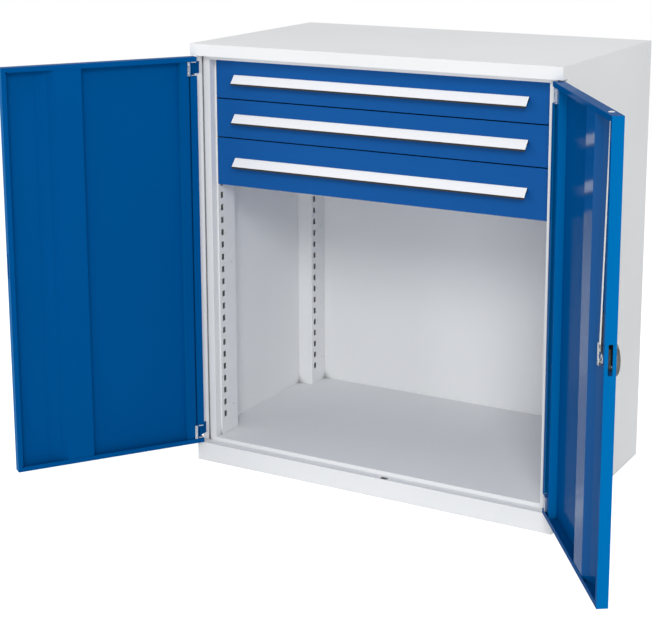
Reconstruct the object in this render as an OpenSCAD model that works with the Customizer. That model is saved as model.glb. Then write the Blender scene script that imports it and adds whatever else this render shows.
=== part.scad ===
// Tool cabinet with two hinged doors, three drawers under the top and an open compartment below.
// Millimetres. X runs across the front, Y from the front to the back, Z up from the floor.
// The origin lies on the floor under the centre of the body. The doors are shown open.

/* [Cabinet] */
// Overall width over the side panels
width = 1000; // [800:10:1300]
// Depth of the body without the doors
depth = 600; // [450:10:800]
// Overall height
height = 1105; // [900:5:1400]
// Sheet thickness of the body
sheet = 1.2; // [0.8:0.1:2]
// Height of the band above the doors
band_height = 30; // [20:1:60]
// Height of the plinth
plinth_height = 50; // [40:1:120]
// Height of the compartment floor above the sill
floor_rise = 10; // [5:1:60]
// Width of the flanges that stand on the ground
foot_flange = 25; // [15:1:40]
// Width of the beam under the floor
beam_width = 60; // [40:5:120]

/* [Front frame] */
// Gap between a closed door and the frame behind it
stop_gap = 2; // [1:0.5:5]
// Width of the outer strip of the frame
strip_width = 17; // [12:1:25]
// Width of the groove in the frame
groove_width = 6; // [3:0.5:10]
// Depth of the groove in the frame
groove_depth = 6; // [3:0.5:10]
// Full width of the frame seen from the front
frame_width = 41; // [32:1:44]
// Height of the rail that shows below the band
header_drop = 11; // [6:1:30]
// Depth of the folded lip under the header rail
header_lip = 18; // [8:1:22]

/* [Uprights] */
// Distance from the side panel's outer face to the upright's inner face
upright_inset = 45; // [43:1:60]
// Width of each upright from front to back
upright_width = 75; // [60:5:110]
// Distance from the front plane to the front uprights
upright_front = 50; // [48:1:70]
// Spacing of the shelf slots
slot_pitch = 33; // [20:1:50]
// Height of a shelf slot
slot_height = 16; // [8:1:20]
// Width of a shelf slot
slot_width = 12; // [5:0.5:14]
// Distance of the slot column from the front edge of its upright
slot_edge = 17; // [12:1:30]

/* [Doors] */
// Thickness of a door
door_thickness = 25; // [25:1:30]
// Sheet thickness of a door
door_sheet = 1.2; // [0.8:0.1:2]
// Gap over and under a door
door_gap = 2.5; // [1.5:0.5:5]
// Gap between the two closed doors
meeting_gap = 3; // [2:0.5:6]
// Distance of a door's edge from the side plane
door_side_gap = 1; // [0.5:0.5:3]
// Opening angle of the doors
door_angle = 125; // [60:1:125]
// Width of the rim on the hinge side
hinge_rim = 18; // [14:1:25]
// Width of the rim on the other three sides
door_rim = 12; // [8:1:20]
// Distance from the hinge edge to the stiffener
stiffener_start = 300; // [100:5:320]
// Width of the flat face of the stiffener
stiffener_flat = 67; // [30:1:80]
// Width of the sloping side of the stiffener
stiffener_slope = 33; // [20:1:40]
// Far edge of the reinforcement beside the hinges
stile_end = 42; // [36:1:70]
// Height of the reinforcement beside the hinges
stile_height = 19; // [12:1:22]

/* [Hinges] */
// Distance of the hinge axis from the side plane
axis_side = 4.5; // [4.5:0.1:6]
// Distance of the hinge axis from the front plane
axis_depth = 5; // [5:0.1:7]
// Diameter of the hinge pins
pin_diameter = 4; // [3:0.5:4]
// Diameter of the bracket's barrel
barrel_diameter = 7; // [6:0.5:7]
// Length of the barrel
barrel_length = 30; // [20:1:60]
// Distance from a door's end to the middle of its hinge
hinge_offset = 30; // [30:1:120]
// Thickness of the bracket and of the ears on the door
hinge_plate = 2.5; // [2:0.5:4]

/* [Lock] */
// Height of the knob's centre above the ground
knob_height = 571; // [400:1:800]
// Distance from the door's free edge to the knob's centre
backset = 50; // [50:1:60]
// Diameter of the turning knob
knob_diameter = 72; // [60:1:78]
// Diameter of the rose under the knob
rose_diameter = 80; // [70:1:90]
// How far the knob stands off the door
knob_projection = 12; // [10:1:25]
// Turn of the knob from open to locked
knob_turn = 90; // [60:1:90]
// Distance of the rod pins from the knob's axis
rod_crank = 14; // [12:0.5:14]
// Distance of the latch pin from the knob's axis
latch_crank = 9; // [8:0.5:9]
// Diameter of the lock rods
rod_diameter = 6; // [5:0.5:7]
// Height of the slot in the doors' meeting edges
edge_slot_height = 65; // [50:1:90]
// Width of the slot in the doors' meeting edges
edge_slot_width = 9.5; // [8:0.5:12]
// Height of the latch slot above the knob's centre
edge_slot_rise = 12; // [8:1:16]

/* [Drawers] */
// Front heights of the drawers from the top down
front_heights = [97, 97, 122];
// Gap between the drawer fronts
front_gap = 3; // [2:0.5:6]
// Gap between the header rail and the top front
header_gap = 2; // [1:0.5:6]
// Gap between the fronts and the uprights
front_side_gap = 1; // [1:0.5:4]
// Thickness of a drawer front
front_thickness = 15; // [10:1:20]
// How much lower a drawer box is than its front
box_relief = 22; // [16:1:40]
// Height of a drawer box above the lower edge of its front
box_rise = 6; // [4:1:10]
// Sheet thickness of the drawer boxes
box_sheet = 1; // [0.8:0.1:1.5]
// Length of the slides
slide_length = 500; // [350:10:600]
// Height of the slides above the lower edge of the front
slide_rise = 42; // [38:1:60]
// Length of the handle bars
handle_length = 800; // [400:10:860]
// Height of the handle bars
handle_height = 24; // [18:1:30]
// How far the handle bars stand out
handle_projection = 21; // [15:1:21]

/* [Hidden] */
$fn = 64;
over = 1;

steel_grey = [0.84, 0.85, 0.86];
gentian_blue = [0.05, 0.27, 0.58];
zinc = [0.72, 0.74, 0.76];
bright_metal = [0.85, 0.86, 0.88];
white_plastic = [0.95, 0.95, 0.95];

left = -1;
right = 1;

frame_y = door_thickness + stop_gap;
band_bottom = height - band_height;
header_bottom = band_bottom - header_drop;
under_top = height - sheet;
rear_flange = 15;
top_rear_flange = 20;
sill_lip = 18;
sill_overlap = 5;
sill_depth = frame_y + sill_overlap;
floor_height = plinth_height + floor_rise;
floor_side_skirt = 25;
back_panel_y = depth - 2 * sheet;
beam_sheet = 1.5;
beam_lip = 20;
first_slot = 46;
last_slot_margin = 30;
fixing_heights = [70, 462];
fixing_margin = 19;
fixing_hole = 4;

door_width = (width - 2 * door_side_gap - meeting_gap) / 2;
door_bottom = plinth_height + door_gap;
door_height = band_bottom - door_bottom - door_gap;
hinge_notch_depth = 15;
hinge_notch_height = barrel_length + 7;
ear_gap = 0.3;
bore_clearance = 0.1;
stile_start = 20;
stile_sheet = 1;
stiffener_sheet = 1;
stiffener_foot = 12;
stiffener_knee = 9.5;
stiffener_step = 0.6;
carrier_face = 7;
corner_relief = 4;
arm_offset = 1;
bracket_foot_gap = 1.8;
bracket_end_gap = 1;
bracket_foot_start = frame_y + sheet + bracket_foot_gap;
strip_slot_clearance = 0.3;

knob_x = door_width - backset;
knob_z = knob_height - door_bottom;
edge_slot_y = door_thickness / 2;
upper_tip_y = door_thickness / 2;
upper_rod_y = 20;
lower_rod_y = 10;
rose_thickness = 2;
knob_gap = 0.4;
knob_edge = 3;
knob_crown = 1;
knob_web = 1;
shaft_end_gap = 1;
shaft_diameter = 12;
shaft_step_diameter = 8;
running = 0.1;
bush_diameter = 24;
bush_nut_diameter = 27;
bush_nut_height = 2.5;
bush_end = 6.5;
lock_play = 0.3;
link_thickness = 2;
lower_link_start = lower_rod_y - link_thickness / 2;
plate_start = bush_end + lock_play;
plate_end = lower_link_start - lock_play;
plate_hub = 25;
plate_arm = 9;
rod_pin_diameter = 6;
lower_pin_end = lower_link_start + link_thickness;
latch_pin_diameter = 5;
latch_thickness = 1.5;
latch_start = lower_pin_end + lock_play;
latch_end = latch_start + latch_thickness;
latch_pin_end = latch_end + lock_play;
case_start = 13.5;
case_sheet = 1.2;
case_end = case_start + case_sheet;
case_left = 15;
case_right = 21;
case_foot = 7;
case_up = 95;
case_down = 18;
window_margin = 1;
cam_start = case_end + lock_play;
cam_thickness = 2;
cam_hub = 20;
cam_arm = 12;
shaft_end_diameter = 6;
upper_pin_excess = 0.5;
upper_pin_end = upper_rod_y + link_thickness / 2 + upper_pin_excess;
latch_bar = 17;
latch_head = 41;
latch_tip_gap = 1;
latch_head_gap = 2;
fork_wall = 3;
fork_mouth = 1.7;
fork_end = 2;
pin_play = 0.45;
link_wall = 2;
link_rim = 3;
link_arm = 7.5;
linear_share = 0.93;
rod_ratio = linear_share * rod_crank;
latch_ratio = linear_share * latch_crank;
half_turn = knob_turn / 2;
half_turn_radians = half_turn * PI / 180;
rod_half_travel = rod_ratio * half_turn_radians;
latch_half_travel = latch_ratio * half_turn_radians;
rod_foot = 22;
link_overlap = 8;
rivet_diameter = 3;
rivet_head = 10;
rivet_head_height = 1.5;
sleeve_diameter = 9;
sleeve_depth = 6;
flange_diameter = 13;
flange_height = 1.2;
rod_play = 0.5;
sill_slot = [19, 13];
cylinder_diameter = 17;
cylinder_depth = 4.5;
key_slot = [1.6, 9, 2];
grip_width = 16;
grip_depth = 6;

slide_front_gap = 1;
slide_y = upright_front + front_thickness + slide_front_gap;
front_width = width - 2 * (upright_inset + front_side_gap);
front_sheet = 1.2;
front_lip = 14;
slide_outer_height = 46;
slide_sheet = 1.5;
slide_play = 0.4;
slide_total = 12.5;
slide_reach = 11;
slide_lip = 1.4;
slide_neck = 1.4;
middle_start = 2.5;
middle_reach = 8.2;
inner_start = 5;
inner_step = 9;
box_side = upright_inset + slide_total;
box_width = width - 2 * box_side;
box_back_gap = 1;
box_back = slide_y + slide_length - box_back_gap;
box_hem = 8;
handle_wall = 2;
handle_top = 2;
handle_foot = 10;
handle_run = handle_projection - handle_top;
handle_lean = atan2(handle_run, handle_height - handle_wall);
handle_face = norm([handle_run, handle_height - handle_wall]);
label_margin = 3;
label_end = 5;
label_thickness = 0.8;

front_top = header_bottom - header_gap;

function sum_to(list, i) = i < 0 ? 0 : list[i] + sum_to(list, i - 1);
function front_bottom(i) = front_top - sum_to(front_heights, i) - i * front_gap;
function front_middle(i) = front_bottom(i) + front_heights[i] / 2;
function slide_middle(i) = front_bottom(i) + slide_rise;

// A box between two opposite corners
module block(from, to) {
  translate(from)
    cube(to - from);
}

// A thin section along legs that run parallel to the axes
module fold(points, t) {
  for (i = [0 : len(points) - 2]) {
    a = points[i];
    b = points[i + 1];
    translate([min(a[0], b[0]), min(a[1], b[1])])
      square([abs(a[0] - b[0]) + t, abs(a[1] - b[1]) + t]);
  }
}

// Stands a section drawn in Y and Z along X
module along_x(length) {
  rotate([90, 0, 90])
    linear_extrude(length)
      children();
}

// Stands a section drawn in X and Z along Y
module along_y(length) {
  translate([0, length, 0])
    rotate([90, 0, 0])
      linear_extrude(length)
        children();
}

// Puts a round part whose axis is Z along Y, starting at y = 0
module facing_y() {
  rotate([-90, 0, 0])
    children();
}

// Side coordinates: x from a side plane inwards, y from the front plane
module on_side(side) {
  mirror([side == right ? 1 : 0, 0, 0])
    translate([-width / 2, -depth / 2, 0])
      children();
}

// Body coordinates: x across from the left side plane, y from the front plane
module on_body() {
  on_side(left)
    children();
}

// Door coordinates: x from the hinge edge, y from the outer face, z from the lower edge
module on_door(side) {
  on_side(side)
    translate([axis_side, axis_depth, 0])
      rotate([0, 0, -door_angle])
        translate([door_side_gap - axis_side, -axis_depth, door_bottom])
          children();
}

// Knob coordinates: the knob's axis is y, x points to the door's free edge
module on_lock() {
  on_door(right)
    translate([knob_x, 0, knob_z])
      children();
}

// Repeats a hinge part at both ends of a door, z = 0 in the middle of the hinge
module at_hinges() {
  for (z = [hinge_offset, door_height - hinge_offset])
    translate([0, 0, z])
      children();
}

// The folded front frame from the side plane inwards, with its groove
module frame_section() {
  inner = frame_width - sheet;
  groove_end = strip_width + groove_width;
  fold([
    [0, frame_y],
    [strip_width - sheet, frame_y],
    [strip_width - sheet, frame_y + groove_depth],
    [groove_end, frame_y + groove_depth],
    [groove_end, frame_y],
    [inner, frame_y],
    [inner, upright_front - sheet]
  ], sheet);
}

// A side wall with its rear and ground flanges and its half of the front frame
module side_panel(side) {
  color(steel_grey)
    on_side(side)
      difference() {
        union() {
          difference() {
            block([0, sheet, 0], [sheet, depth, under_top]);
            block([-over, 0, plinth_height], [sheet + over, frame_y, band_bottom]);
          }
          block([0, depth - sheet, 0], [rear_flange, depth, under_top]);
          block([0, sheet, 0], [foot_flange, back_panel_y, sheet]);
          translate([0, 0, plinth_height])
            linear_extrude(band_bottom - plinth_height)
              frame_section();
        }
        translate([0, 0, door_bottom])
          at_hinges()
            block(
              [axis_side + arm_offset - strip_slot_clearance, frame_y - over,
                -barrel_length / 2 - strip_slot_clearance],
              [axis_side + arm_offset + hinge_plate + strip_slot_clearance, frame_y + sheet + over,
                barrel_length / 2 + strip_slot_clearance]);
      }
}

module back_panel() {
  color(steel_grey)
    on_body() {
      block([sheet, back_panel_y, 0], [width - sheet, back_panel_y + sheet, under_top]);
      block([foot_flange, back_panel_y - foot_flange, 0], [width - foot_flange, back_panel_y, sheet]);
    }
}

// The top sheet with the band over the doors
module top_cover() {
  color(steel_grey)
    on_body()
      difference() {
        union() {
          block([0, 0, under_top], [width, depth, height]);
          block([0, 0, band_bottom], [width, sheet, height]);
          block([sheet, 0, band_bottom], [width - sheet, frame_y, band_bottom + sheet]);
          block(
            [rear_flange, depth - sheet, under_top - top_rear_flange],
            [width - rear_flange, depth, height]);
        }
        rod_slot(upper_tip_y, band_bottom);
      }
}

// The slot that takes a lock rod at depth y, cut through the sheet at height z
module rod_slot(y, z) {
  translate([width / 2 + meeting_gap / 2 + backset, y, z])
    cube([sill_slot[0], sill_slot[1], 2 * (sheet + over)], center = true);
}

module header_rail() {
  color(steel_grey)
    on_body() {
      block([frame_width, frame_y, header_bottom], [width - frame_width, frame_y + sheet, band_bottom]);
      block([sheet, frame_y, band_bottom], [width - sheet, frame_y + sheet, under_top]);
      block(
        [frame_width, frame_y, header_bottom],
        [width - frame_width, frame_y + header_lip, header_bottom + sheet]);
    }
}

module floor_shelf() {
  wide_y = upright_front;
  color(steel_grey)
    on_body() {
      block([frame_width, frame_y, floor_height - sheet], [width - frame_width, wide_y, floor_height]);
      block([sheet, wide_y, floor_height - sheet], [width - sheet, back_panel_y, floor_height]);
      block(
        [frame_width, frame_y, plinth_height],
        [width - frame_width, frame_y + sheet, floor_height]);
      block(
        [sheet, back_panel_y - sheet, floor_height - floor_side_skirt],
        [width - sheet, back_panel_y, floor_height]);
      for (x = [sheet, width - 2 * sheet])
        block([x, wide_y, floor_height - floor_side_skirt], [x + sheet, back_panel_y, floor_height]);
    }
}

// The beam that carries the floor and stands on the ground, with the origin on its underside
module floor_beam() {
  y0 = (depth - beam_width) / 2;
  y1 = y0 + beam_width - beam_sheet;
  top = floor_height - sheet - beam_sheet;
  color(steel_grey)
    on_body()
      translate([foot_flange, 0, 0])
        along_x(width - 2 * foot_flange)
          fold([
            [y0 - beam_lip, top],
            [y0, top],
            [y0, 0],
            [y1, 0],
            [y1, top],
            [y1 + beam_lip, top]
          ], beam_sheet);
}

module plinth() {
  color(steel_grey)
    on_body()
      difference() {
        union() {
          block([0, 0, 0], [width, sheet, plinth_height]);
          block([sheet, 0, plinth_height - sheet], [width - sheet, sill_depth, plinth_height]);
          block(
            [sheet, sill_depth - sheet, plinth_height - sill_lip],
            [width - sheet, sill_depth, plinth_height]);
          block([foot_flange, 0, 0], [width - foot_flange, foot_flange, sheet]);
        }
        rod_slot(lower_rod_y, plinth_height);
      }
}

// A slotted upright with two fixing holes, y = 0 at its front edge
module upright() {
  web = upright_inset - sheet;
  slots = floor((under_top - floor_height - first_slot - last_slot_margin) / slot_pitch);
  difference() {
    translate([0, 0, floor_height])
      linear_extrude(under_top - floor_height)
        fold([
          [sheet, 0],
          [web, 0],
          [web, upright_width - sheet],
          [sheet, upright_width - sheet]
        ], sheet);
    for (i = [0 : slots])
      translate([web - over, slot_edge - slot_width / 2, floor_height + first_slot + i * slot_pitch])
        cube([sheet + 2 * over, slot_width, slot_height]);
    for (z = fixing_heights)
      translate([web - over, upright_width - fixing_margin, floor_height + z])
        rotate([0, 90, 0])
          cylinder(d = fixing_hole, h = sheet + 2 * over);
  }
}

module upright_front(side) {
  color(steel_grey)
    on_side(side)
      translate([0, upright_front, 0])
        upright();
}

module upright_rear(side) {
  color(steel_grey)
    on_side(side)
      translate([0, back_panel_y - upright_width, 0])
        upright();
}

// Barrels on bent arms that reach through the front frame
module hinge_brackets() {
  arm_x = axis_side + arm_offset;
  arm_end = bracket_foot_start + hinge_plate;
  color(zinc)
    for (side = [left, right])
      on_side(side)
        translate([0, 0, door_bottom])
          at_hinges()
            translate([0, 0, -barrel_length / 2])
              difference() {
                union() {
                  translate([axis_side, axis_depth, 0])
                    cylinder(d = barrel_diameter, h = barrel_length);
                  block([arm_x, axis_depth, 0], [arm_x + hinge_plate, arm_end, barrel_length]);
                  block([sheet, bracket_foot_start, 0], [arm_x + hinge_plate, arm_end, barrel_length]);
                  block(
                    [sheet, bracket_foot_start, 0],
                    [sheet + hinge_plate, upright_front - bracket_end_gap, barrel_length]);
                }
                translate([axis_side, axis_depth, -over])
                  cylinder(d = pin_diameter + bore_clearance, h = barrel_length + 2 * over);
              }
}

// The door's outer sheet, folded back round all four edges
module door_skin(side) {
  color(gentian_blue)
    on_door(side)
      difference() {
        block([0, 0, 0], [door_width, door_thickness, door_height]);
        block(
          [door_sheet, door_sheet, door_sheet],
          [door_width - door_sheet, door_thickness - door_sheet, door_height - door_sheet]);
        block(
          [hinge_rim, door_thickness / 2, door_rim],
          [door_width - door_rim, door_thickness + over, door_height - door_rim]);
        for (z = [door_rim, door_height - door_rim])
          translate([door_width - door_rim, door_thickness / 2, z])
            facing_y()
              cylinder(d = corner_relief, h = door_thickness);
        at_hinges()
          block(
            [-over, axis_depth - barrel_diameter / 2, -hinge_notch_height / 2],
            [hinge_notch_depth, door_thickness + over, hinge_notch_height / 2]);
        translate([door_width, edge_slot_y, knob_z + edge_slot_rise])
          cube([2 * (door_sheet + over), edge_slot_width, edge_slot_height], center = true);
        if (side == right) {
          for (rim = [[lower_rod_y, 0], [upper_tip_y, door_height]])
            translate([knob_x, rim[0], rim[1] - door_sheet - over])
              cylinder(d = sleeve_diameter + bore_clearance, h = 2 * (door_sheet + over));
          translate([knob_x, -over, knob_z])
            facing_y()
              cylinder(d = bush_diameter, h = door_sheet + 2 * over);
        }
      }
}

// The vertical stiffener with one square and one sloping side
module door_stiffener(side) {
  top = door_thickness - door_sheet;
  flat_end = stiffener_start + stiffener_flat;
  slope_end = flat_end + stiffener_slope;
  bend_x = flat_end + stiffener_slope / 2;
  foot_top = door_sheet + stiffener_sheet;
  color(gentian_blue)
    on_door(side)
      translate([0, 0, door_sheet])
        linear_extrude(door_height - 2 * door_sheet)
          polygon([
            [stiffener_start, door_sheet],
            [stiffener_start, top],
            [flat_end, top],
            [bend_x, stiffener_knee],
            [slope_end, foot_top],
            [slope_end + stiffener_foot, foot_top],
            [slope_end + stiffener_foot, door_sheet],
            [slope_end - stiffener_step, door_sheet],
            [bend_x - stiffener_step, stiffener_knee - stiffener_sheet],
            [flat_end - stiffener_step, top - stiffener_sheet],
            [stiffener_start + stiffener_sheet, top - stiffener_sheet],
            [stiffener_start + stiffener_sheet, door_sheet]
          ]);
}

module door_stile(side) {
  color(gentian_blue)
    on_door(side)
      translate([0, 0, door_sheet])
        linear_extrude(door_height - 2 * door_sheet)
          fold([
            [stile_start, door_sheet],
            [stile_start, stile_height],
            [stile_end - stile_sheet, stile_height],
            [stile_end - stile_sheet, door_sheet]
          ], stile_sheet);
}

// Two ears over and under each barrel, on a plate that is fixed to the door
module hinge_carriers(side) {
  pin_x = axis_side - door_side_gap;
  ear_start = barrel_length / 2 + ear_gap;
  reach = ear_start + hinge_plate;
  inside = door_sheet;
  color(zinc)
    on_door(side)
      at_hinges()
        difference() {
          union() {
            for (z = [-reach, ear_start])
              block([inside, inside, z], [hinge_rim, door_thickness - 2 * door_sheet, z + hinge_plate]);
            block(
              [hinge_rim - hinge_plate, inside, -reach],
              [hinge_rim, door_thickness - door_sheet, reach]);
            block(
              [hinge_rim, stile_height + stile_sheet, -reach],
              [hinge_rim + carrier_face, door_thickness, reach]);
          }
          translate([pin_x, axis_depth, -reach - over])
            cylinder(d = pin_diameter + bore_clearance, h = 2 * (reach + over));
        }
}

module hinge_pins(side) {
  reach = barrel_length / 2 + ear_gap + hinge_plate;
  color(zinc)
    on_door(side)
      at_hinges()
        translate([axis_side - door_side_gap, axis_depth, -reach])
          cylinder(d = pin_diameter, h = 2 * reach);
}

module rose() {
  color(bright_metal)
    on_lock()
      facing_y()
        translate([0, 0, -rose_thickness])
          difference() {
            cylinder(d = rose_diameter, h = rose_thickness);
            translate([0, 0, -over])
              cylinder(d = bush_diameter, h = rose_thickness + 2 * over);
          }
}

module lock_bush() {
  color(zinc)
    on_lock()
      facing_y()
        difference() {
          union() {
            translate([0, 0, -rose_thickness])
              cylinder(d = bush_diameter, h = rose_thickness + bush_end);
            translate([0, 0, door_sheet])
              cylinder(d = bush_nut_diameter, h = bush_nut_height);
          }
          translate([0, 0, -rose_thickness - over])
            cylinder(d = shaft_diameter + running, h = rose_thickness + bush_end + 2 * over);
        }
}

// The case over the lock, with a window for the latch in the leg beside the free edge
module lock_case() {
  leg = case_right - case_sheet;
  fork_bottom = latch_crank * cos(half_turn) - fork_mouth;
  color(zinc)
    on_lock()
      difference() {
        translate([0, 0, -case_down])
          linear_extrude(case_up + case_down)
            fold([
              [-case_left - case_foot, door_sheet],
              [-case_left, door_sheet],
              [-case_left, case_start],
              [leg, case_start],
              [leg, door_sheet],
              [leg + case_foot, door_sheet]
            ], case_sheet);
        translate([0, case_start - over, 0])
          facing_y()
            cylinder(d = shaft_step_diameter + running, h = case_sheet + 2 * over);
        block(
          [leg - over, latch_start - lock_play, fork_bottom - window_margin],
          [case_right + over, latch_end + lock_play, fork_bottom + latch_bar + window_margin]);
      }
}

// A bush with its flange above z = 0 and its sleeve below
module rod_bush() {
  difference() {
    union() {
      cylinder(d = flange_diameter, h = flange_height);
      translate([0, 0, -sleeve_depth])
        cylinder(d = sleeve_diameter, h = sleeve_depth + flange_height / 2);
    }
    translate([0, 0, -sleeve_depth - over])
      cylinder(d = rod_diameter + rod_play, h = sleeve_depth + flange_height + 2 * over);
  }
}

// The bushes that guide the rods through the upper and the lower rim of the door
module rod_bushes() {
  color(white_plastic)
    on_door(right) {
      translate([knob_x, upper_tip_y, door_height])
        rod_bush();
      translate([knob_x, lower_rod_y, 0])
        mirror([0, 0, 1])
          rod_bush();
    }
}

module knob() {
  outer = rose_thickness + knob_projection;
  inner = rose_thickness + knob_gap;
  radius = knob_diameter / 2;
  color(bright_metal)
    on_lock()
      rotate([90, 0, 0])
        difference() {
          rotate_extrude()
            polygon([
              [0, inner],
              [radius, inner],
              [radius, outer - knob_edge],
              [radius - knob_edge, outer - knob_crown],
              [radius - 2 * knob_edge, outer],
              [0, outer]
            ]);
          for (m = [0, 1])
            mirror([m, 0, 0])
              intersection() {
                block(
                  [grip_width / 2, -radius, outer - grip_depth],
                  [radius, radius, outer + over]);
                translate([0, 0, outer - grip_depth])
                  cylinder(r = radius - 2 * knob_edge, h = grip_depth + over);
              }
          translate([0, 0, outer - cylinder_depth])
            cylinder(d = cylinder_diameter + running, h = cylinder_depth + over);
          translate([0, 0, inner - over])
            cylinder(d = shaft_diameter + running, h = outer - cylinder_depth - knob_web - inner + over);
        }
}

// A flat crank: a hub with one arm that ends under a rod pin
module crank(hub, arm, angle, thickness) {
  cylinder(d = hub, h = thickness);
  // After the turn to face y, local y points down the door
  rotate(-angle) {
    translate([0, -arm / 2, 0])
      cube([rod_crank, arm, thickness]);
    translate([rod_crank, 0, 0])
      cylinder(d = arm, h = thickness);
  }
}

// A rod pin from one depth to another
module rod_pin(angle, from, to) {
  rotate(-angle)
    translate([rod_crank, 0, from])
      cylinder(d = rod_pin_diameter, h = to - from);
}

// The shaft with its crank inside the case, the lower rod's pin and the latch pin
module lock_rotor() {
  shaft_start = rose_thickness + knob_projection - cylinder_depth - knob_web - shaft_end_gap;
  color(zinc)
    on_lock()
      facing_y() {
        translate([0, 0, -shaft_start])
          cylinder(d = shaft_diameter, h = shaft_start + plate_end);
        translate([0, 0, plate_start])
          crank(plate_hub, plate_arm, half_turn, plate_end - plate_start);
        translate([0, 0, plate_end])
          cylinder(d = shaft_step_diameter, h = cam_start - plate_end);
        translate([0, 0, cam_start])
          cylinder(d = shaft_end_diameter, h = cam_thickness);
        rod_pin(half_turn, plate_start, lower_pin_end);
        translate([-latch_crank * sin(half_turn), -latch_crank * cos(half_turn), plate_start])
          cylinder(d = latch_pin_diameter, h = latch_pin_end - plate_start);
      }
}

// The crank over the case, which carries the upper rod's pin
module lock_cam() {
  color(zinc)
    on_lock()
      facing_y()
        difference() {
          union() {
            translate([0, 0, cam_start])
              crank(cam_hub, cam_arm, 180 + half_turn, cam_thickness);
            rod_pin(180 + half_turn, cam_start, upper_pin_end);
          }
          translate([0, 0, cam_start - over])
            cylinder(d = shaft_end_diameter + running, h = cam_thickness + 2 * over);
        }
}

module lock_cylinder() {
  outer = rose_thickness + knob_projection;
  color(zinc)
    on_lock()
      rotate([90, 0, 0])
        difference() {
          translate([0, 0, outer - cylinder_depth])
            cylinder(d = cylinder_diameter, h = cylinder_depth);
          translate([0, 0, outer])
            cube([key_slot[0], key_slot[1], 2 * key_slot[2]], center = true);
        }
}

// The plate between a rod pin and the foot of its rod, drawn for the upper rod
module link_section() {
  near = rod_crank * cos(half_turn);
  slot_half = (rod_crank - near) / 2 + rod_pin_diameter / 2 + running;
  slot_middle = -(rod_crank + near) / 2;
  slot_high = rod_pin_diameter + 2 * pin_play;
  right_edge = slot_middle + slot_half + link_wall;
  left_edge = slot_middle - slot_half - link_wall;
  half = slot_high / 2 + link_rim;
  foot_half = rod_diameter / 2;
  difference() {
    union() {
      translate([left_edge, -rod_half_travel - half])
        square([right_edge - left_edge, 2 * half]);
      translate([left_edge, -rod_half_travel - half])
        square([link_arm, rod_half_travel + half + rod_foot]);
      translate([left_edge, rod_foot - link_arm])
        square([foot_half - left_edge, link_arm + link_overlap]);
    }
    translate([slot_middle - slot_half, -rod_half_travel - slot_high / 2])
      square([2 * slot_half, slot_high]);
  }
}

// A link with its rivet, in the rod at depth y
module rod_link(y) {
  translate([0, y - link_thickness / 2, 0])
    along_y(link_thickness)
      link_section();
  translate([0, y - rod_diameter / 2, rod_foot + link_overlap / 2])
    facing_y()
      cylinder(d = rivet_diameter, h = rod_diameter);
}

// Cuts the slit and the rivet hole for the link into the foot of the rod at depth y
module rod_end(y) {
  slit = link_thickness + 2 * running;
  difference() {
    children();
    translate([-rod_diameter, y - slit / 2, rod_foot - over])
      cube([2 * rod_diameter, slit, link_overlap + over + running]);
    translate([0, y - rod_diameter, rod_foot + link_overlap / 2])
      facing_y()
        cylinder(d = rivet_diameter + running, h = 2 * rod_diameter);
  }
}

// Turns a part of the upper rod into one of the lower rod
module downwards() {
  rotate([0, 180, 0])
    children();
}

// The upper rod, which leans outwards to its bush in the door's upper rim
module rod_upper() {
  rise = door_height - knob_z - rod_foot;
  step = upper_tip_y - upper_rod_y;
  color(zinc)
    on_lock()
      rod_end(upper_rod_y)
        translate([0, upper_rod_y, rod_foot])
          rotate([-atan2(step, rise), 0, 0])
            cylinder(d = rod_diameter, h = norm([step, rise]));
}

// The upper link, whose rivet has a wide head
module rod_link_upper() {
  color(zinc)
    on_lock() {
      rod_link(upper_rod_y);
      translate([0, upper_rod_y + rod_diameter / 2, rod_foot + link_overlap / 2])
        facing_y()
          cylinder(d = rivet_head, h = rivet_head_height);
    }
}

module rod_lower() {
  color(zinc)
    on_lock()
      downwards()
        rod_end(lower_rod_y)
          translate([0, lower_rod_y, rod_foot])
            cylinder(d = rod_diameter, h = knob_z - rod_foot);
}

module rod_link_lower() {
  color(zinc)
    on_lock()
      downwards()
        rod_link(lower_rod_y);
}

// The plate that slides out through the meeting edges, with an open fork for its pin
module latch() {
  fork_bottom = latch_crank * cos(half_turn) - fork_mouth;
  fork_half = latch_pin_diameter / 2 + pin_play;
  tip = backset - latch_tip_gap;
  head_start = case_right + latch_head_gap;
  color(zinc)
    on_lock()
      translate([0, latch_start, 0])
        along_y(latch_thickness)
          difference() {
            union() {
              translate([-latch_half_travel - fork_half - fork_wall, fork_bottom])
                square([tip + latch_half_travel + fork_half + fork_wall, latch_bar]);
              translate([head_start, edge_slot_rise - latch_head / 2])
                square([tip - head_start, latch_head]);
            }
            translate([-latch_half_travel - fork_half, fork_bottom - over])
              square([2 * fork_half, latch_crank + fork_half + fork_end - fork_bottom]);
          }
}

// Draws a slide rail's half section at both sides of the cabinet
module slide_pair(i) {
  for (side = [left, right])
    on_side(side)
      translate([upright_inset, slide_y, slide_middle(i)])
        along_y(slide_length)
          children();
}

// A section that opens towards the drawer, with legs at plus and minus half
module channel(start, reach, half) {
  translate([start, -half])
    square([slide_sheet, 2 * half]);
  for (z = [-half, half - slide_sheet])
    translate([start, z])
      square([reach, slide_sheet]);
}

module slide_fixed(i) {
  half = slide_outer_height / 2;
  color(zinc)
    slide_pair(i) {
      channel(0, slide_reach + slide_sheet / 2, half);
      for (m = [0, 1])
        mirror([0, m])
          translate([slide_reach - slide_sheet / 2, half - slide_sheet - slide_lip])
            square([slide_sheet, slide_lip + slide_sheet]);
    }
}

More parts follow.
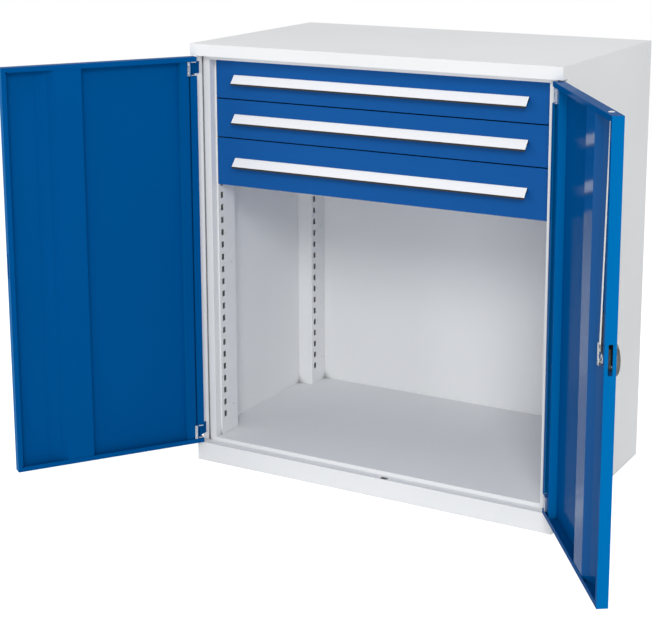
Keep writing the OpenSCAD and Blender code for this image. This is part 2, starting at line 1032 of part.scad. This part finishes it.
module slide_middle_pair(i) {
  half = slide_outer_height / 2 - slide_sheet - slide_play;
  color(zinc)
    slide_pair(i)
      difference() {
        channel(middle_start, middle_reach, half);
        // The legs stay behind the lips of the fixed rail
        for (m = [0, 1])
          mirror([0, m])
            translate([slide_reach - slide_sheet / 2 - slide_play, half - slide_lip])
              square([slide_sheet + over, slide_lip + over]);
      }
}

// The rail on the drawer, which runs inside the middle rail
module slide_drawer(i) {
  half = slide_outer_height / 2 - 2 * (slide_sheet + slide_play);
  neck = half - slide_neck;
  color(zinc)
    slide_pair(i) {
      for (m = [0, 1])
        mirror([0, m]) {
          translate([inner_start, half - slide_sheet])
            square([inner_step - inner_start, slide_sheet]);
          translate([inner_step - slide_sheet, neck - slide_sheet])
            square([slide_sheet, half - neck + slide_sheet]);
          translate([inner_step - slide_sheet, neck - slide_sheet])
            square([slide_total - inner_step + slide_sheet, slide_sheet]);
        }
      translate([slide_total - slide_sheet, -neck])
        square([slide_sheet, 2 * neck]);
    }
}

// An open-topped box with its upper edges folded inwards
module drawer_box(i) {
  bottom = front_bottom(i) + box_rise;
  top = bottom + front_heights[i] - box_relief;
  front = upright_front + front_thickness;
  far = width - box_side;
  hem_top = top - box_sheet;
  color(gentian_blue)
    on_body() {
      difference() {
        block([box_side, front, bottom], [far, box_back, top]);
        block([box_side + box_sheet, front + box_sheet, bottom + box_sheet],
          [far - box_sheet, box_back - box_sheet, hem_top]);
        block([box_side + box_hem, front + box_hem, hem_top - over],
          [far - box_hem, box_back - box_hem, top + over]);
      }
    }
}

// A front folded back round its four edges
module drawer_front(i) {
  bottom = front_bottom(i);
  top = bottom + front_heights[i];
  x0 = (width - front_width) / 2;
  x1 = x0 + front_width;
  back = upright_front + front_thickness;
  color(gentian_blue)
    on_body()
      difference() {
        block([x0, upright_front, bottom], [x1, back, top]);
        block(
          [x0 + front_sheet, upright_front + front_sheet, bottom + front_sheet],
          [x1 - front_sheet, back - front_sheet, top - front_sheet]);
        block(
          [x0 + front_lip + slide_total, back - front_sheet - over, bottom + front_lip],
          [x1 - front_lip - slide_total, back + over, top - front_lip]);
      }
}

// Moves a handle section to the upper end of the sloping face, with y along the face
module on_slope() {
  translate([-handle_top, handle_height / 2])
    rotate(180 - handle_lean)
      children();
}

// The label's section, which can stand out of the face to cut its pocket
module label_section(stand_out = 0) {
  on_slope()
    translate([-stand_out, label_margin])
      square([label_thickness + stand_out, handle_face - 2 * label_margin]);
}

// A bar whose face slopes outwards from the top, hollow behind for the fingertips
module handle_section() {
  half = handle_height / 2;
  lean_wall = handle_wall / cos(handle_lean);
  lip = -half + handle_wall;
  polygon([
    [0, half],
    [-handle_top, half],
    [-handle_projection, lip],
    [-handle_projection, -half],
    [-handle_projection + lean_wall, -half],
    [-handle_projection + lean_wall, lip],
    [-handle_top, half - lean_wall - handle_wall],
    [-handle_top, half - handle_foot],
    [0, half - handle_foot]
  ]);
}

// Places a section drawn in Y and Z along a drawer front, shorter than the bar at both ends
module on_handle(i, shorter) {
  on_body()
    translate([(width - handle_length) / 2 + shorter, upright_front, front_middle(i)])
      along_x(handle_length - 2 * shorter)
        children();
}

module drawer_handle(i) {
  color(bright_metal)
    difference() {
      on_handle(i, 0)
        handle_section();
      on_handle(i, label_end)
        label_section(over);
    }
}

module drawer_label(i) {
  color(white_plastic)
    on_handle(i, label_end)
      label_section();
}

side_panel(left);  // side_panel_left
side_panel(right);  // side_panel_right
back_panel();
top_cover();
header_rail();
floor_shelf();
floor_beam();
plinth();
upright_front(left);  // upright_front_left
upright_front(right);  // upright_front_right
upright_rear(left);  // upright_rear_left
upright_rear(right);  // upright_rear_right
hinge_brackets();
slide_fixed(0);  // slide_fixed_1
slide_fixed(1);  // slide_fixed_2
slide_fixed(2);  // slide_fixed_3
door_skin(left);  // door_skin_left
door_stiffener(left);  // door_stiffener_left
door_stile(left);  // door_stile_left
hinge_carriers(left);  // hinge_carriers_left
hinge_pins(left);  // hinge_pins_left
door_skin(right);  // door_skin_right
door_stiffener(right);  // door_stiffener_right
door_stile(right);  // door_stile_right
hinge_carriers(right);  // hinge_carriers_right
hinge_pins(right);  // hinge_pins_right
rose();
lock_bush();
lock_case();
rod_bushes();
knob();
lock_rotor();
lock_cam();
lock_cylinder();
rod_upper();
rod_link_upper();
rod_lower();
rod_link_lower();
latch();
drawer_box(0);  // drawer_box_1
drawer_front(0);  // drawer_front_1
drawer_handle(0);  // drawer_handle_1
drawer_label(0);  // drawer_label_1
slide_drawer(0);  // slide_drawer_1
drawer_box(1);  // drawer_box_2
drawer_front(1);  // drawer_front_2
drawer_handle(1);  // drawer_handle_2
drawer_label(1);  // drawer_label_2
slide_drawer(1);  // slide_drawer_2
drawer_box(2);  // drawer_box_3
drawer_front(2);  // drawer_front_3
drawer_handle(2);  // drawer_handle_3
drawer_label(2);  // drawer_label_3
slide_drawer(2);  // slide_drawer_3
slide_middle_pair(0);  // slide_middle_1
slide_middle_pair(1);  // slide_middle_2
slide_middle_pair(2);  // slide_middle_3
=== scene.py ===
"""A grey tool cabinet with two open blue doors, three drawers and a rod lock, on a plain pale floor."""
import math

import bmesh
import bpy
from mathutils import Matrix, Vector


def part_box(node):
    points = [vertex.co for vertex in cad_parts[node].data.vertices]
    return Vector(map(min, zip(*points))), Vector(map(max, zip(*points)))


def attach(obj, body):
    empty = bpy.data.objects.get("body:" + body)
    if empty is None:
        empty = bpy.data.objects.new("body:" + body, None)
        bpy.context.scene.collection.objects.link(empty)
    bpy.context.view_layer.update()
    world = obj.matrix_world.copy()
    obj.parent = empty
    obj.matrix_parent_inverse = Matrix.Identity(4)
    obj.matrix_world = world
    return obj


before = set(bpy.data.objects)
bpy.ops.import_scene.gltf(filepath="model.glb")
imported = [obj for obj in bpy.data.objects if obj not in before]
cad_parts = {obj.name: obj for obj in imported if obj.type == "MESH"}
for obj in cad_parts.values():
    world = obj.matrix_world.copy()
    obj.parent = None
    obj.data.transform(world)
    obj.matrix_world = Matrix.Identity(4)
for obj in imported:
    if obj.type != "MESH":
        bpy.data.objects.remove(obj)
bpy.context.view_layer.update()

# The photograph's frame in pixels, and the fitted camera in metres and radians
IMAGE_WIDTH = 652
IMAGE_HEIGHT = 634
FOCAL_PIXELS = 1600
PRINCIPAL_X = 326
PRINCIPAL_Y = 190
CAMERA_PLACE = Vector((1.7945, -3.613, 1.5557))
CAMERA_YAW = math.radians(29.847)
CAMERA_PITCH = math.radians(11.662)
CAMERA_ROLL = math.radians(-0.232)
SENSOR_MM = 36
NEAREST_SEEN = 0.05
FARTHEST_SEEN = 100

# Sizes of the cabinet in metres, as in the part's source
WIDTH = 1.0
DEPTH = 0.6
DOOR_THICKNESS = 0.025
DOOR_HEIGHT = 1.02
DOOR_BOTTOM = 0.0525
DOOR_SIDE_GAP = 0.001
DOOR_ANGLE = math.radians(125)
AXIS_SIDE = 0.0045
AXIS_DEPTH = 0.005
HINGE_OFFSET = 0.03
KNOB_X = 0.4475
KNOB_Z = 0.5185
HANDLE_LIP = 0.0042

SIDES = ("left", "right")
DRAWERS = ("1", "2", "3")

# Screws: heads, and their places on the hinge carriers and on the lock case
CARRIER_HEAD_RADIUS = 0.0022
CARRIER_HEAD_HEIGHT = 0.0008
CARRIER_SCREW_X = 0.0215
CARRIER_SCREW_RISES = (-0.0105, 0.0105)
CASE_HEAD_RADIUS = 0.0026
CASE_HEAD_HEIGHT = 0.0016
CASE_FACE_Y = 0.0024
CASE_SCREW_RISES = (-0.010, 0.086)
CASE_SCREW_SHIFTS = (-0.0186, 0.0246)
HEAD_RINGS = 9
HEAD_STEPS = 32
HEAD_DOME = 0.92
RECESS_HALF_WIDTH = 0.13
RECESS_REACH = 0.62
RECESS_DEPTH = 0.55

# Rounding of the CAD nodes' edges
EDGE_ROUNDING = 0.00045
FLAT_ANGLE = math.radians(0.5)
ROUNDED_ANGLE = math.radians(38)
SHARP_ANGLE = math.radians(40)

# Colours of the coats and metals, and the pairs of shades between which a finish varies
GREY = (0.825, 0.832, 0.838)
BLUE = (0.000, 0.079, 0.275)
# Painted highlight: the lighter blue on the doors' free edges
FREE_EDGE_HIGHLIGHT = (0.000, 0.142, 0.410)
DRAWER_BLUE = (0.004, 0.089, 0.325)
# Painted shade: the black on the handles' lip, underside and cut ends
LIP_SHADE_BLACK = (0.012, 0.012, 0.010)
# Painted shade deep in the zinc's creases
ZINC_CREASE_SHADE = (0.03, 0.03, 0.03)
ROD_COLOUR = (0.97, 0.97, 0.95)
ZINC_SHADES = ((0.78, 0.80, 0.81), (0.92, 0.93, 0.92))
# Near black: partly the lock parts' own oxide and partly painted shade in the door's edge slot
OXIDE_AND_SLOT_SHADE_TONES = ((0.008, 0.008, 0.009), (0.016, 0.016, 0.017))
HANDLE_SHADES = ((0.93, 0.933, 0.935), (0.97, 0.97, 0.97))
CARD_SHADES = ((0.93, 0.93, 0.945), (0.97, 0.97, 0.975))
PLASTIC_SHADES = ((0.80, 0.80, 0.79), (0.86, 0.86, 0.85))
STEEL_SHADES = ((0.15, 0.142, 0.128), (0.25, 0.238, 0.215))

# Painted shade in creases and recesses: its share of the coat's colour, its widths, and the openness at
# which it starts and ends
CREASE_SHADE_SHARE = 0.12
WIDE_CREASE_SHADE = 0.030
NARROW_CREASE_SHADE = 0.012
CREASE_SHADE_SAMPLES = 8
CREASE_SHADE_DEEPEST = 0.12
CREASE_SHADE_OPEN = 0.52

# Studio: each lamp has its place, the point it aims at, its size in metres and its watts
LAMPS = {
    "key": ((4.1, -7.9, 5.5), (0, -0.2, 0.55), (3.2, 2.6), 322),
    "front_fill": ((3.5, -6.4, 1.1), (0, -0.3, 0.5), (2.6, 1.6), 86),
    "left_fill": ((-3.4, -3.6, 2.2), (0, -0.2, 0.55), (2.2, 2.2), 44),
    "right_fill": ((6.0, -0.6, 2.4), (0, 0, 0.6), (2.4, 2.4), 22),
    "top_fill": ((0.2, 0.2, 4.6), (0, 0, 1.1), (3.0, 3.0), 42),
}
AMBIENT = 0.49
AMBIENT_TINT = (0.98, 0.99, 1, 1)
WHITE = (1, 1, 1, 1)
FLOOR_SHADE = (0.82, 0.82, 0.82, 1)
FLOOR_GLOW = 0.60
FLOOR_REACH = 5.0
FLOOR_SEGMENTS = 8
FLOOR_DROP = 0.0004


# Camera, light and floor

def make_camera():
    data = bpy.data.cameras.new("camera")
    data.sensor_width = SENSOR_MM
    data.lens = FOCAL_PIXELS / IMAGE_WIDTH * SENSOR_MM
    data.shift_x = (IMAGE_WIDTH / 2 - PRINCIPAL_X) / IMAGE_WIDTH
    data.shift_y = (PRINCIPAL_Y - IMAGE_HEIGHT / 2) / IMAGE_WIDTH
    data.clip_start = NEAREST_SEEN
    data.clip_end = FARTHEST_SEEN
    camera = bpy.data.objects.new("camera", data)
    bpy.context.scene.collection.objects.link(camera)
    camera.matrix_world = Matrix.Translation(CAMERA_PLACE) @ camera_turn().to_4x4()
    bpy.context.scene.camera = camera


def camera_turn():
    """Yaw to the left of +Y, then pitch downwards, then roll about the view direction."""
    cos_yaw, sin_yaw = math.cos(CAMERA_YAW), math.sin(CAMERA_YAW)
    cos_pitch, sin_pitch = math.cos(CAMERA_PITCH), math.sin(CAMERA_PITCH)
    cos_roll, sin_roll = math.cos(CAMERA_ROLL), math.sin(CAMERA_ROLL)
    ahead = Vector((-sin_yaw * cos_pitch, cos_yaw * cos_pitch, -sin_pitch))
    level = Vector((cos_yaw, sin_yaw, 0))
    upright = level.cross(ahead)
    across = level * cos_roll + upright * sin_roll
    up = upright * cos_roll - level * sin_roll
    return Matrix((across, up, -ahead)).transposed()


def area_light(name, place, target, size, power):
    data = bpy.data.lights.new(name, "AREA")
    data.shape = "RECTANGLE"
    data.size, data.size_y = size
    data.energy = power
    lamp = bpy.data.objects.new(name, data)
    bpy.context.scene.collection.objects.link(lamp)
    lamp.location = place
    lamp.rotation_mode = "QUATERNION"
    lamp.rotation_quaternion = (Vector(target) - Vector(place)).to_track_quat("-Z", "Y")
    lamp.visible_camera = False


def background(tree, colour, strength):
    node = tree.nodes.new("ShaderNodeBackground")
    node.inputs["Color"].default_value = colour
    node.inputs["Strength"].default_value = strength
    return node.outputs[0]


def make_world():
    """The camera sees white, and the object gets the dimmer ambient light."""
    world = bpy.data.worlds.new("studio")
    bpy.context.scene.world = world
    world.use_nodes = True
    tree = world.node_tree
    tree.nodes.clear()
    path = tree.nodes.new("ShaderNodeLightPath")
    mix = tree.nodes.new("ShaderNodeMixShader")
    tree.links.new(path.outputs["Is Camera Ray"], mix.inputs[0])
    tree.links.new(background(tree, AMBIENT_TINT, AMBIENT), mix.inputs[1])
    tree.links.new(background(tree, WHITE, 1), mix.inputs[2])
    out = tree.nodes.new("ShaderNodeOutputWorld")
    tree.links.new(mix.outputs[0], out.inputs[0])


def floor_finish():
    """Pale and matt, with a glow for the camera alone, so that it fades into the white background."""
    material = bpy.data.materials.new("studio_floor")
    material.use_nodes = True
    tree = material.node_tree
    tree.nodes.clear()
    path = tree.nodes.new("ShaderNodeLightPath")
    diffuse = tree.nodes.new("ShaderNodeBsdfDiffuse")
    diffuse.inputs["Color"].default_value = FLOOR_SHADE
    scale = tree.nodes.new("ShaderNodeMath")
    scale.operation = "MULTIPLY"
    scale.inputs[1].default_value = FLOOR_GLOW
    tree.links.new(path.outputs["Is Camera Ray"], scale.inputs[0])
    glow = tree.nodes.new("ShaderNodeEmission")
    tree.links.new(scale.outputs[0], glow.inputs["Strength"])
    both = tree.nodes.new("ShaderNodeAddShader")
    tree.links.new(diffuse.outputs[0], both.inputs[0])
    tree.links.new(glow.outputs[0], both.inputs[1])
    out = tree.nodes.new("ShaderNodeOutputMaterial")
    tree.links.new(both.outputs[0], out.inputs[0])
    return material


def make_floor():
    bm = bmesh.new()
    bmesh.ops.create_grid(bm, x_segments=FLOOR_SEGMENTS, y_segments=FLOOR_SEGMENTS, size=FLOOR_REACH)
    mesh = bpy.data.meshes.new("floor")
    bm.to_mesh(mesh)
    bm.free()
    mesh.materials.append(floor_finish())
    floor = bpy.data.objects.new("floor", mesh)
    bpy.context.scene.collection.objects.link(floor)
    floor.location.z = -FLOOR_DROP


def make_lights():
    make_world()
    for name, (place, target, size, power) in LAMPS.items():
        area_light(name, place, target, size, power)


# Materials

class Shader:
    """A material with its Principled shader and short calls for the nodes that feed it."""

    def __init__(self, name):
        self.material = bpy.data.materials.new(name)
        self.material.use_nodes = True
        self.tree = self.material.node_tree
        self.bsdf = self.tree.nodes["Principled BSDF"]
        coordinates = self.tree.nodes.new("ShaderNodeTexCoord")
        self.place = coordinates.outputs["Object"]
        self.normal = coordinates.outputs["Normal"]

    def set(self, **values):
        for socket, value in values.items():
            self.bsdf.inputs[socket.replace("_", " ")].default_value = value

    def link(self, output, socket):
        self.tree.links.new(output, self.bsdf.inputs[socket])

    def stretched(self, scale):
        """Object coordinates times a scale along each axis."""
        mapping = self.tree.nodes.new("ShaderNodeMapping")
        mapping.inputs["Scale"].default_value = scale
        self.tree.links.new(self.place, mapping.inputs["Vector"])
        return mapping.outputs["Vector"]

    def noise(self, scale, detail, roughness=0.5, vector=None):
        node = self.tree.nodes.new("ShaderNodeTexNoise")
        node.inputs["Scale"].default_value = scale
        node.inputs["Detail"].default_value = detail
        node.inputs["Roughness"].default_value = roughness
        self.tree.links.new(vector or self.place, node.inputs["Vector"])
        return node.outputs["Fac"]

    def rings(self, centre, scale, detail):
        """Noise that changes only with the distance from a centre."""
        distance = self.tree.nodes.new("ShaderNodeVectorMath")
        distance.operation = "DISTANCE"
        distance.inputs[1].default_value = centre
        self.tree.links.new(self.place, distance.inputs[0])
        node = self.tree.nodes.new("ShaderNodeTexNoise")
        node.noise_dimensions = "1D"
        node.inputs["Scale"].default_value = scale
        node.inputs["Detail"].default_value = detail
        self.tree.links.new(distance.outputs["Value"], node.inputs["W"])
        return node.outputs["Fac"]

    def span(self, output, low, high, start=0.3, end=0.7):
        """Maps start to end, by default a noise's usual range, onto low to high."""
        node = self.tree.nodes.new("ShaderNodeMapRange")
        node.inputs["From Min"].default_value = start
        node.inputs["From Max"].default_value = end
        node.inputs["To Min"].default_value = low
        node.inputs["To Max"].default_value = high
        self.tree.links.new(output, node.inputs["Value"])
        return node.outputs["Result"]

    def shades(self, output, first, second):
        """From the first to the second, each a colour or another node's output."""
        node = self.tree.nodes.new("ShaderNodeMix")
        node.data_type = "RGBA"
        for socket, colour in (("A", first), ("B", second)):
            if isinstance(colour, tuple):
                node.inputs[socket].default_value = (*colour, 1)
            else:
                self.tree.links.new(colour, node.inputs[socket])
        self.tree.links.new(output, node.inputs["Factor"])
        return node.outputs["Result"]

    def height(self):
        """Height in metres above the floor at rest."""
        node = self.tree.nodes.new("ShaderNodeSeparateXYZ")
        self.tree.links.new(self.place, node.inputs[0])
        return node.outputs["Z"]

    def facing(self, direction, start, end):
        """1 on faces that look along the direction, from the start to the end cosine."""
        node = self.tree.nodes.new("ShaderNodeVectorMath")
        node.operation = "DOT_PRODUCT"
        node.inputs[1].default_value = direction
        self.tree.links.new(self.normal, node.inputs[0])
        return self.span(node.outputs["Value"], 0, 1, start, end)

    def painted_crease_shade(self, distance):
        """Painted shade: 0 deep in a crease narrower than the distance and 1 on open faces."""
        node = self.tree.nodes.new("ShaderNodeAmbientOcclusion")
        node.samples = CREASE_SHADE_SAMPLES
        node.inputs["Distance"].default_value = distance
        return self.span(node.outputs["AO"], 0, 1, CREASE_SHADE_DEEPEST, CREASE_SHADE_OPEN)

    def bump(self, *layers):
        """Each layer is (height output, depth in metres, strength)."""
        below = None
        for height, depth, strength in layers:
            node = self.tree.nodes.new("ShaderNodeBump")
            node.inputs["Distance"].default_value = depth
            node.inputs["Strength"].default_value = strength
            self.tree.links.new(height, node.inputs["Height"])
            if below:
                self.tree.links.new(below, node.inputs["Normal"])
            below = node.outputs["Normal"]
        self.link(below, "Normal")


def scaled(colour, share):
    return tuple(channel * share for channel in colour)


def powder_coat(name, colour, roughness, reflectance, crease_shade_reach, edge=None):
    """Fine orange peel over soft waves in the sheet, uneven gloss and tone, painted shade deep in creases,
    and, when an edge is given, a painted highlight on faces that look along its direction.
    """
    s = Shader(name)
    s.set(Specular_IOR_Level=reflectance)
    patches = s.span(s.noise(scale=2.3, detail=4), 0, 1)
    coat = s.shades(patches, scaled(colour, 0.972), scaled(colour, 1.02))
    # Painted highlight: a lighter colour on faces that look along the given direction
    if edge:
        direction, highlight_colour = edge
        coat = s.shades(s.facing(direction, 0.9, 0.98), coat, highlight_colour)
    # Painted shade: the colour falls to a small share of itself deep in creases
    s.link(s.shades(s.painted_crease_shade(crease_shade_reach), scaled(colour, CREASE_SHADE_SHARE), coat), "Base Color")
    gloss = s.noise(scale=7, detail=5, roughness=0.6)
    s.link(s.span(gloss, roughness - 0.035, roughness + 0.045), "Roughness")
    waves = s.noise(scale=3.1, detail=1)
    peel = s.noise(scale=620, detail=2, roughness=0.55)
    s.bump((waves, 0.0012, 0.10), (peel, 0.00022, 0.16))
    return s.material


def zinc(name):
    """Plated steel with a fine spangle, and painted shade deep in its creases."""
    s = Shader(name)
    s.set(Metallic=1.0)
    spangle = s.shades(s.span(s.noise(scale=160, detail=4), 0, 1), *ZINC_SHADES)
    # Painted shade: darker deep in creases
    s.link(s.shades(s.painted_crease_shade(NARROW_CREASE_SHADE), ZINC_CREASE_SHADE, spangle), "Base Color")
    s.link(s.span(s.noise(scale=45, detail=5, roughness=0.65), 0.24, 0.40), "Roughness")
    s.bump((s.noise(scale=900, detail=3), 0.00008, 0.2))
    return s.material


def oxide_and_slot_shade():
    """The lock's case, latch, bush and cranks: a thin dull oxide made near black, partly their own colour
    and partly painted shade in the door's edge slot.
    """
    s = Shader("oxide_and_slot_shade")
    s.set(Specular_IOR_Level=0.25)
    s.link(s.shades(s.span(s.noise(scale=220, detail=4), 0, 1), *OXIDE_AND_SLOT_SHADE_TONES), "Base Color")
    s.link(s.span(s.noise(scale=60, detail=4), 0.34, 0.50), "Roughness")
    s.bump((s.noise(scale=1100, detail=3), 0.00006, 0.2))
    return s.material


def plated_rod():
    """Bright rod drawn upwards: long fine scratches, across which the grain changes quickly."""
    s = Shader("plated_rod")
    s.set(Metallic=1.0)
    grain = s.noise(scale=1, detail=4, roughness=0.7, vector=s.stretched((700, 700, 8)))
    s.link(s.shades(s.span(grain, 0, 1), scaled(ROD_COLOUR, 0.93), ROD_COLOUR), "Base Color")
    s.link(s.span(grain, 0.19, 0.32), "Roughness")
    s.bump((grain, 0.00006, 0.25))
    return s.material


def handle_finish(drawer):
    """Pale satin bar drawn along its length, with painted shade in black on its lip, underside and cut
    ends.
    """
    s = Shader(f"handle_satin_{drawer}")
    s.set(Specular_IOR_Level=0.6)
    grain = s.noise(scale=1, detail=3, roughness=0.6, vector=s.stretched((6, 900, 900)))
    face = s.shades(s.span(grain, 0, 1), *HANDLE_SHADES)
    # Painted shade: black below the top of the lip
    lip_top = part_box(f"drawer_handle_{drawer}")[0][2] + HANDLE_LIP
    above_lip = s.span(s.height(), 0, 1, lip_top - 0.0002, lip_top + 0.0002)
    # Painted shade: black on faces that do not look upwards
    shade = s.shades(s.facing((0, 0, 1), 0.30, 0.55), LIP_SHADE_BLACK, face)
    s.link(s.shades(above_lip, LIP_SHADE_BLACK, shade), "Base Color")
    s.link(s.span(grain, 0.30, 0.42), "Roughness")
    s.bump((grain, 0.00004, 0.2))
    return s.material


def label_finish():
    """White card behind a clear strip: faint fibres below a smooth coat."""
    s = Shader("label_card")
    s.set(Coat_Weight=0.7, Coat_Roughness=0.08, Roughness=0.55)
    fibre = s.noise(scale=1, detail=4, roughness=0.6, vector=s.stretched((240, 900, 900)))
    s.link(s.shades(s.span(fibre, 0, 1), *CARD_SHADES), "Base Color")
    s.bump((fibre, 0.00005, 0.25))
    return s.material


def white_plastic():
    """Moulded bush: matt, with a faint grain."""
    s = Shader("white_plastic")
    s.link(s.shades(s.noise(scale=30, detail=4), *PLASTIC_SHADES), "Base Color")
    s.link(s.span(s.noise(scale=120, detail=3), 0.36, 0.48), "Roughness")
    s.bump((s.noise(scale=1400, detail=3), 0.0001, 0.2))
    return s.material


def turned_steel():
    """Steel turned on a lathe: fine rings about the knob's centre."""
    s = Shader("turned_steel")
    s.set(Metallic=1.0)
    centre = on_door("right") @ Vector((KNOB_X, 0, KNOB_Z))
    grain = s.rings(centre, scale=2600, detail=3)
    s.link(s.shades(s.span(grain, 0, 1), *STEEL_SHADES), "Base Color")
    s.link(s.span(grain, 0.22, 0.36), "Roughness")
    s.bump((grain, 0.00005, 0.25))
    return s.material


# Places

def on_side(side):
    """Side coordinates, x from a side plane inwards and y from the front plane, to the part's frame."""
    flip = Matrix.Diagonal((-1, 1, 1, 1)) if side == "right" else Matrix.Identity(4)
    return flip @ Matrix.Translation((-WIDTH / 2, -DEPTH / 2, 0))


def on_door(side):
    """Door coordinates, x from the hinge edge, y from the outer face and z from the lower edge."""
    swing = Matrix.Translation((AXIS_SIDE, AXIS_DEPTH, 0)) @ Matrix.Rotation(-DOOR_ANGLE, 4, "Z")
    return on_side(side) @ swing @ Matrix.Translation((DOOR_SIDE_GAP - AXIS_SIDE, -AXIS_DEPTH, DOOR_BOTTOM))


def free_edge(side):
    """The direction in which a door's free edge looks at rest."""
    return tuple(on_door(side).to_3x3() @ Vector((1, 0, 0)))


def facing_in(x, y, z):
    """A seat on a face that looks into the cabinet from a closed door, at a door's coordinates."""
    return Matrix.Translation((x, y, z)) @ Matrix.Rotation(-math.pi / 2, 4, "X")


# Materials and edges on the CAD nodes

def door_coat(side):
    """Satin blue, with a painted highlight in a lighter blue on the door's free edge."""
    edge = (free_edge(side), FREE_EDGE_HIGHLIGHT)
    return powder_coat(f"blue_powder_coat_{side}", BLUE, 0.13, 0.005, NARROW_CREASE_SHADE, edge)


def finish_rules():
    """Starts of node names with those nodes' material. The first rule that fits a node holds."""
    grey = powder_coat("grey_powder_coat", GREY, 0.42, 0.3, WIDE_CREASE_SHADE)
    gloss = powder_coat("blue_gloss_coat", BLUE, 0.09, 0.22, NARROW_CREASE_SHADE)
    drawers = powder_coat("drawer_powder_coat", DRAWER_BLUE, 0.34, 0.10, NARROW_CREASE_SHADE)
    left_skin, right_skin = (door_coat(side) for side in SIDES)
    handles = [((f"drawer_handle_{drawer}",), handle_finish(drawer)) for drawer in DRAWERS]
    return [
        (("side_panel", "back_panel", "top_cover", "header", "floor_", "plinth", "upright"), grey),
        (("door_stiffener_right",), gloss),
        (("door_skin_left", "door_stiffener_left", "door_stile_left", "hinge_brackets"), left_skin),
        (("door_skin_right", "door_stile_right"), right_skin),
        (("latch", "lock_case", "lock_rotor", "lock_bush"), oxide_and_slot_shade()),
        (("drawer_box", "drawer_front"), drawers),
        *handles,
        (("drawer_label",), label_finish()),
        (("rod_upper", "rod_lower", "rod_link"), plated_rod()),
        (("rod_bushes",), white_plastic()),
        (("knob", "rose"), turned_steel()),
        (("",), zinc("zinc_plate")),
    ]


def soften(obj):
    """Rounds the sharp edges a little, so that they catch the light as folded sheet does."""
    merge = obj.modifiers.new("merge_flat_faces", "DECIMATE")
    merge.decimate_type = "DISSOLVE"
    merge.angle_limit = FLAT_ANGLE
    edge = obj.modifiers.new("rounded_edges", "BEVEL")
    edge.width = EDGE_ROUNDING
    edge.segments = 2
    edge.limit_method = "ANGLE"
    edge.angle_limit = ROUNDED_ANGLE
    edge.harden_normals = True
    edge.use_clamp_overlap = True


def dress_nodes():
    rules = finish_rules()
    for name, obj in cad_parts.items():
        material = next(finish for starts, finish in rules if name.startswith(starts))
        obj.data.materials.clear()
        obj.data.materials.append(material)
        soften(obj)


# Screws

def head_ring(bm, place, radius, height, share):
    """One ring of a head's upper face, at a share of its radius, or the middle point at share 0."""
    ring = []
    for step in range(HEAD_STEPS):
        angle = 2 * math.pi * step / HEAD_STEPS
        x = radius * share * math.cos(angle)
        y = radius * share * math.sin(angle)
        z = height * math.sqrt(max(0.0, 1 - HEAD_DOME * share ** 4))
        if min(abs(x), abs(y)) < RECESS_HALF_WIDTH * radius and share < RECESS_REACH:
            z -= RECESS_DEPTH * height
        middle = ring and share == 0
        ring.append(ring[0] if middle else bm.verts.new(place @ Vector((x, y, z))))
    return ring


def seat_ring(bm, place, radius):
    """The head's outline on the face that it sits on."""
    angles = [2 * math.pi * step / HEAD_STEPS for step in range(HEAD_STEPS)]
    points = [Vector((radius * math.cos(angle), radius * math.sin(angle), 0)) for angle in angles]
    return [bm.verts.new(place @ point) for point in points]


def add_screw(bm, place, radius, height):
    """A pan head with a cross recess. place puts its seat at the origin with the head towards +Z."""
    rows = [head_ring(bm, place, radius, height, ring / HEAD_RINGS) for ring in range(HEAD_RINGS + 1)]
    rows.append(seat_ring(bm, place, radius))
    for lower, upper in zip(rows, rows[1:]):
        for step in range(HEAD_STEPS):
            following = (step + 1) % HEAD_STEPS
            corners = [lower[step], upper[step], upper[following]]
            if lower[following] is not lower[step]:
                corners.append(lower[following])
            bm.faces.new(corners)
    bm.faces.new(rows[-1])


def screw_piece(name, bm, material, body):
    """A piece of screw heads that rides on a body."""
    bmesh.ops.recalc_face_normals(bm, faces=bm.faces)
    mesh = bpy.data.meshes.new(name)
    bm.to_mesh(mesh)
    bm.free()
    mesh.materials.append(material)
    for polygon in mesh.polygons:
        polygon.use_smooth = True
    mesh.set_sharp_from_angle(angle=SHARP_ANGLE)
    piece = bpy.data.objects.new(name, mesh)
    bpy.context.scene.collection.objects.link(piece)
    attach(piece, body)


def carrier_screws(side, material):
    """Two screws in each hinge carrier."""
    bm = bmesh.new()
    for hinge in (HINGE_OFFSET, DOOR_HEIGHT - HINGE_OFFSET):
        for rise in CARRIER_SCREW_RISES:
            seat = facing_in(CARRIER_SCREW_X, DOOR_THICKNESS, hinge + rise)
            add_screw(bm, on_door(side) @ seat, CARRIER_HEAD_RADIUS, CARRIER_HEAD_HEIGHT)
    screw_piece(f"carrier_screws_{side}", bm, material, f"{side}_door")


def case_screws(material):
    """Four screws in the lock case's flanges."""
    bm = bmesh.new()
    for rise in CASE_SCREW_RISES:
        for shift in CASE_SCREW_SHIFTS:
            seat = facing_in(KNOB_X + shift, CASE_FACE_Y, KNOB_Z + rise)
            add_screw(bm, on_door("right") @ seat, CASE_HEAD_RADIUS, CASE_HEAD_HEIGHT)
    screw_piece("case_screws", bm, material, "right_door")


def make_fasteners():
    plated = zinc("screw_zinc")
    for side in SIDES:
        carrier_screws(side, plated)
    case_screws(plated)


bpy.context.scene.view_settings.view_transform = "Standard"
make_camera()
make_lights()
make_floor()
dress_nodes()
make_fasteners()
